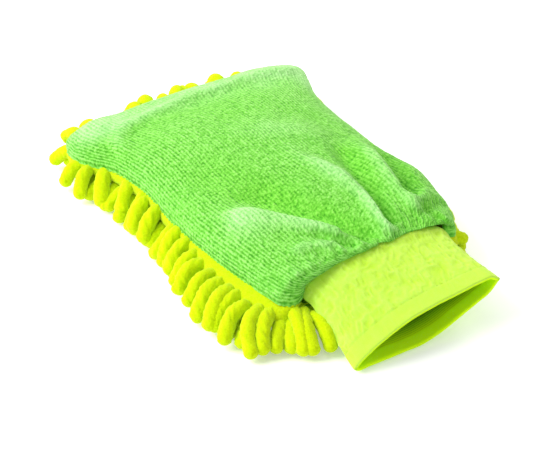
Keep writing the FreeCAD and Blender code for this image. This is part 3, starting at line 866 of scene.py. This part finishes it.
def wrist_left_noodles():
    near = [
        (-72, -72, -94, -78, 2.0, 14.8, 1.0), (-74, -83, -95, -92, 3.5, 14.8, 1.05),
        (-69, -89, -87, -110, 5.5, 14.8, 1.05), (-64, -93, -81, -111, 3.0, 14.5, 1.0),
        (-56, -97, -62, -123, -1.0, 15.0, 1.0), (-50.5, -101, -57, -126, 1.5, 13.5, 0.95),
        (-49, -106, -47, -128, -1.5, 12.5, 0.98),
        (-60, -97, -74, -113, 1.0, 10.5, 1.0), (-66, -84, -88, -98, 2.0, 10.0, 1.0),
        (-53, -96, -66, -118, 2.0, 10.0, 1.0), (-70, -78, -90, -86, 0.0, 10.0, 1.0),
    ]
    items = []
    for k, (x, y, ex, ey, bend, z, fat) in enumerate(near):
        end = (ex, ey, 4.3 + (k % 2) * 0.6)
        items.append((reach((x + 4, y + 4, z - 0.5), end, bend, 2.4 if z > 12 else 0.8, 1.7), R * fat))
    return strands("wrist_left_noodles", "mitt", ["wrist_corner_left"], items)


def ring_noodles():
    """The right side, the finger end and the wrist."""
    made = []
    edge = [(28, 77), (66, 80), (100, 76), (143, 75), (172, 79)]
    upper, lower = [], []
    for y in np.linspace(31, 160, 14):
        x = float(smooth([(a, b) for a, b in edge], np.array([y]))[0])
        turn = rng.uniform(-5, 5)
        end = (x + 8.5 + rng.uniform(-2, 1.5), WRIST + y + turn, rng.uniform(4, 5))
        upper.append((reach((x - 5, WRIST + y, 15), end, rng.uniform(-5, 5), 2.2, 2.4), R))
        end = (x + 5, WRIST + y + 4 - turn, 4.1)
        lower.append((reach((x - 12, WRIST + y + 4, 10), end, rng.uniform(-5, 5), 0.5, 1.2), R))
    made.append(strands("right_edge_noodles_upper", "right_edge_noodles", ["right_fringe"], upper))
    made.append(strands("right_palm_noodles", "mitt", ["palm_noodles_right_4"], lower))
    tip = []
    for k, x in enumerate(np.linspace(-66, 63, 15)):
        y = 119.6 + 8 * math.cos(x / 95 * math.pi / 2)
        seen = 1.0 if -36 < x < 52 or x < -60 else 0.0
        end = (x + rng.uniform(-9, 9), y + 21 + rng.uniform(-1.5, 1.5), rng.uniform(7, 12))
        lift = 2.0 + seen * (6.0 + 2.5 * (k % 2))
        tip.append((reach((x, y - 3, 16.5 + 0.02 * x), end, rng.uniform(-3, 3), lift, 1.9), R))
    made.append(strands("tip_edge_noodles_upper", "tip_edge_noodles", ["tip_fringe"], tip))
    low = []
    for k, x in enumerate(np.linspace(-56, 56, 12)):
        y = 206 + 6 * math.cos(x / 95 * math.pi / 2)
        heading, length = 90 + rng.uniform(-18, 18), rng.uniform(23, 26)
        low.append((strand_path((x, WRIST + y, 10), heading, length, curl=rng.uniform(-25, 25), sag=1.2), R))
    made.append(strands("tip_palm_noodles", "mitt", ["tip_noodles"], low))
    left = [
        (-76, 116, 16.5, -80, 138, 15, 6.5), (-66, 121, 16.5, -64, 142, 14, 6.5),
        (-80, 112, 15.5, -93, 131, 4.6, 2.5), (-79, 106, 15, -85, 126, 4.4, 0.5),
        (-83, 101, 15, -99, 101, 4.3, 2.5), (-82, 94, 15, -97, 82, 4.3, 3.0),
        (-76, 104, 10, -92, 112, 4.1, 0.5), (-74, 96, 10, -92, 92, 4.1, 0.5),
        (-68, 112, 10, -76, 132, 4.1, 0.5), (-60, 116, 10, -62, 137, 4.1, 0.5),
    ]
    items = [(reach((x, y, z), (ex, ey, ez), 1.5, lift, 1.8), R) for x, y, z, ex, ey, ez, lift in left]
    made.append(strands("tip_left_noodles", "mitt", ["tip_corner_left"], items))
    items = []
    for k, heading in enumerate((4, 24, 44, 64, 84, 14, 36, 58, 78)):
        angle = math.radians(heading)
        deep = 8 if k > 4 else 0
        root = (58 + (20 - deep) * math.cos(angle), 92 + (21 - deep) * math.sin(angle), 10 if deep else 15)
        end = (57 + (34 - deep * 0.6) * math.cos(angle), 92 + (46 - deep * 0.6) * math.sin(angle), 4.2)
        items.append((reach(root, end, rng.uniform(-2, 2), 0.5 if deep else 2.0, 2.0), R))
    made.append(strands("tip_right_noodles", "mitt", ["tip_corner_right"], items))
    right = []
    for x, y, ex, ey, bend, z in (
        (64, -74, 77, -78, -2, 14.5), (60, -82, 73, -88, 2, 14.5), (54, -88, 67, -99, 3, 14.5),
        (60, -90, 73, -90.5, 0, 16.5),
        (56, -84, 69, -95, 0, 10), (60, -72, 75, -72, 0, 10), (50, -88, 58, -104, 0, 10),
    ):
        right.append((reach((x, y, z), (ex, ey, 4.3 if z < 16 else 12.5), bend, 1.5, 1.6), R * 0.95))
    made.append(strands("wrist_right_noodles", "mitt", ["wrist_corner_right"], right))
    under = []
    for x in np.linspace(-38, 50, 10):
        heading, length = -90 + rng.uniform(-15, 15), rng.uniform(20, 24)
        under.append((strand_path((x, WRIST + 4, 10), heading, length, sag=1.1), R))
    made.append(strands("wrist_noodles_under", "mitt", ["wrist_noodles"], under))
    return made


def palm_noodles():
    """The pile of noodles under the palm, row by row."""
    made = []
    for side, sign in (("left", -1), ("right", 1)):
        for line in range(3):
            low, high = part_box(f"palm_noodles_{side}_{line + 1}")
            x = (low[0] if sign > 0 else high[0]) / MM + sign * 4
            y0, y1 = low[1] / MM + 4, high[1] / MM - 4
            items = []
            count = int((y1 - y0) / 9.4) + 1
            for k in range(count):
                y = y0 + (y1 - y0) * (k + (0.5 if line % 2 else 0.0)) / count
                base = 0 if sign > 0 else 180
                root = (x + rng.uniform(-1.5, 1.5), y, 9.6)
                heading, length = base + rng.uniform(-28, 28), rng.uniform(22, 25)
                items.append((strand_path(root, heading, length, curl=rng.uniform(-40, 40), sag=1.2), R))
            node = f"palm_noodles_{side}_{line + 1}"
            made.append(strands(f"palm_{side}_noodles_{line + 1}", "mitt", [node], items, 22, 1.1))
    return made


# ---------------------------------------------------------------- seams

def stitches(name, path, normal, length, gap, radius, body, nodes, lean=0.0):
    """Short stitches along a path of points, standing proud along normal."""
    path, normal = np.array(path), np.array(normal)
    runs = np.linalg.norm(np.diff(path, axis=0), axis=1)
    at = np.concatenate([[0], np.cumsum(runs)])
    points, faces, off = [], [], 0
    s = gap / 2
    while s + length < at[-1]:
        t = np.linspace(0, 1, 5)
        c = np.stack([np.interp(s + t * length, at, path[:, k]) for k in range(3)], -1)
        n = np.stack([np.interp(s + t * length, at, normal[:, k]) for k in range(3)], -1)
        n /= np.linalg.norm(n, axis=1, keepdims=True)
        along = c[-1] - c[0]
        along /= np.linalg.norm(along)
        side = np.cross(n, along)
        c = c + n * (radius * 1.4 * np.sin(np.pi * t) - radius * 0.4)[:, None]
        c = c + side * (lean * (t - 0.5))[:, None]
        q = np.linspace(0, 2 * np.pi, 6, endpoint=False)
        width = radius * np.array([0.5, 0.95, 1, 0.95, 0.5])
        around = np.cos(q)[None, :, None] * side[:, None] + np.sin(q)[None, :, None] * n[:, None]
        p = c[:, None] + width[:, None, None] * around
        points.append(p.reshape(-1, 3))
        faces.append(grid_faces(5, 6, True) + off)
        off += 30
        s += length + gap
    return make(name, np.concatenate(points), np.concatenate(faces), None, body, nodes)


def build_seams():
    made = []
    v = np.linspace(0.0, 1.0, 500)
    left, right = smooth(LEFT_EDGE, v), smooth(RIGHT_EDGE, v)
    left[:, 1] += WRIST
    right[:, 1] += WRIST
    u = np.linspace(0, 1, 300)
    tip = back_base(u, np.ones(300))
    loop = np.concatenate([left, tip[1:-1], right[::-1]])
    loop[:, 2] -= 0.9
    middle = np.array([0, WRIST + 105, 24.0])
    out = loop - middle
    out[:, 2] = 0
    out /= np.linalg.norm(out, axis=1, keepdims=True)
    made.append(stitches(
        "edge_seam_stitches", loop - out * 0.2, out, 2.4, 0.7, 0.42,
        "mitt", ["edge_seam_thread"], lean=0.8,
    ))
    a = np.linspace(0, 1, 500)
    ring = cuff_point(a[None], np.full((1, 500), -0.012), np.full((1, 500), 0.3))[0]
    n = ring - np.array([MIDDLE_X, 0, 25.5]) * [1, 0, 1] - ring * [0, 1, 0]
    n /= np.linalg.norm(n, axis=1, keepdims=True)
    made.append(stitches(
        "wrist_seam_stitches", ring - n * 1.1, n, 2.2, 0.9, 0.4, "mitt", ["wrist_seam_thread"],
    ))
    hem = cuff_point(a[None], np.full((1, 500), 1 - HEM / CUFF), np.zeros((1, 500)))[0]
    n2 = hem - np.array([MIDDLE_X, 0, 17]) * [1, 0, 1] - hem * [0, 1, 0]
    n2 /= np.linalg.norm(n2, axis=1, keepdims=True)
    hem[:, 2] = np.maximum(hem[:, 2], 0.9)
    made.append(stitches(
        "hem_stitches", hem - n2 * 0.1, n2, 2.0, 1.4, 0.22, None, ["hem_thread"],
    ))
    band = []
    for b in (-0.20, -0.02):
        ring = cuff_point(a[None], np.full((1, 500), 0.0), np.full((1, 500), 3.4))[0]
        ring[:, 1] = WRIST - b * CUFF
        band.append(ring)
    t = np.linspace(0, 1, 9)[:, None, None]
    p = band[0][None] * (1 - t) + band[1][None] * t
    made.append(make(
        "elastic_band", p.reshape(-1, 3), grid_faces(9, 500, False), None, "mitt", ["wrist_elastic"],
    ))
    return made


# ---------------------------------------------------------------- build

def paint(pieces, mat):
    for piece in pieces if isinstance(pieces, (list, tuple)) else [pieces]:
        piece.data.materials.clear()
        piece.data.materials.append(mat)


back = build_back()
paint(back, TERRY)
palm = build_palm()
paint(palm, BACKING)
cuff = build_cuff()
paint(cuff, KNIT)
facing = build_cuff_lining()
paint(facing, LINING)
pocket = build_pocket()
paint(pocket, LINING)
noodles = [*left_noodles(), wrist_left_noodles(), *ring_noodles(), *palm_noodles()]
paint(noodles, CHENILLE)
edge_seam, wrist_seam, hem_seam, elastic = build_seams()
paint(edge_seam, GREEN_THREAD)
paint([wrist_seam, hem_seam], YELLOW_THREAD)
paint(elastic, ELASTIC)

for piece in (cuff, facing, hem_seam):
    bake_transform(piece)


# ---------------------------------------------------------------- stage

def build_stage():
    mesh = bpy.data.meshes.new("stage_floor")
    corners = ((-1, -1), (1, -1), (1, 1), (-1, 1))
    mesh.from_pydata([(x * FLOOR_SIZE, y * FLOOR_SIZE, 0) for x, y in corners], [], [(0, 1, 2, 3)])
    floor = bpy.data.objects.new("stage_floor", mesh)
    bpy.context.scene.collection.objects.link(floor)
    m, nodes, links, shader = material("stage_white")
    grain = noise_tex(nodes, links, coordinates(nodes, links), 0.01, 2)
    white = ramp(nodes, links, grain, [(0.3, (0.93, 0.93, 0.93)), (0.7, (0.95, 0.95, 0.95))])
    links.new(white, shader.inputs["Base Color"])
    shader.inputs["Roughness"].default_value = 0.7
    shader.inputs["Specular IOR Level"].default_value = 0.1
    shader.inputs["Emission Color"].default_value = (1, 1, 1, 1)
    shader.inputs["Emission Strength"].default_value = 0.24
    mesh.materials.append(m)

    world = bpy.data.worlds.new("studio")
    bpy.context.scene.world = world
    world.use_nodes = True
    world.node_tree.nodes["Background"].inputs["Color"].default_value = (1, 1, 1, 1)
    world.node_tree.nodes["Background"].inputs["Strength"].default_value = 0.56

    for name, place, target, size, power in (
        ("key", (-1.15, 0.55, 1.05), (0, 0, 0.02), 1.1, 30.0),
        ("top", (-0.2, 0.3, 1.6), (0, 0, 0.02), 1.2, 4.0),
        ("rim", (1.15, 0.75, 0.75), (0, 0, 0.02), 1.0, 9.0),
    ):
        data = bpy.data.lights.new(name, "AREA")
        data.shape, data.size, data.energy = "SQUARE", size, power
        light = bpy.data.objects.new(name, data)
        bpy.context.scene.collection.objects.link(light)
        light.location = place
        aim(light, target)


def aim(obj, target):
    from mathutils import Vector
    d = Vector(target) - Vector(obj.location)
    obj.rotation_euler = d.to_track_quat("-Z", "Y").to_euler()


def build_camera():
    azimuth, elevation, distance = math.radians(-32), math.radians(34.3), 0.9514
    target = np.array([-0.0204, -0.026, 0.020])
    back = np.array([
        math.sin(azimuth) * math.cos(elevation), -math.cos(azimuth) * math.cos(elevation), math.sin(elevation),
    ])
    data = bpy.data.cameras.new("camera")
    data.sensor_width, data.lens = 36, 104.8
    data.clip_end = 20
    camera = bpy.data.objects.new("camera", data)
    bpy.context.scene.collection.objects.link(camera)
    camera.location = target + back * distance
    aim(camera, target)
    bpy.context.scene.camera = camera


build_stage()
build_camera()
bpy.context.scene.view_settings.view_transform = "Standard"
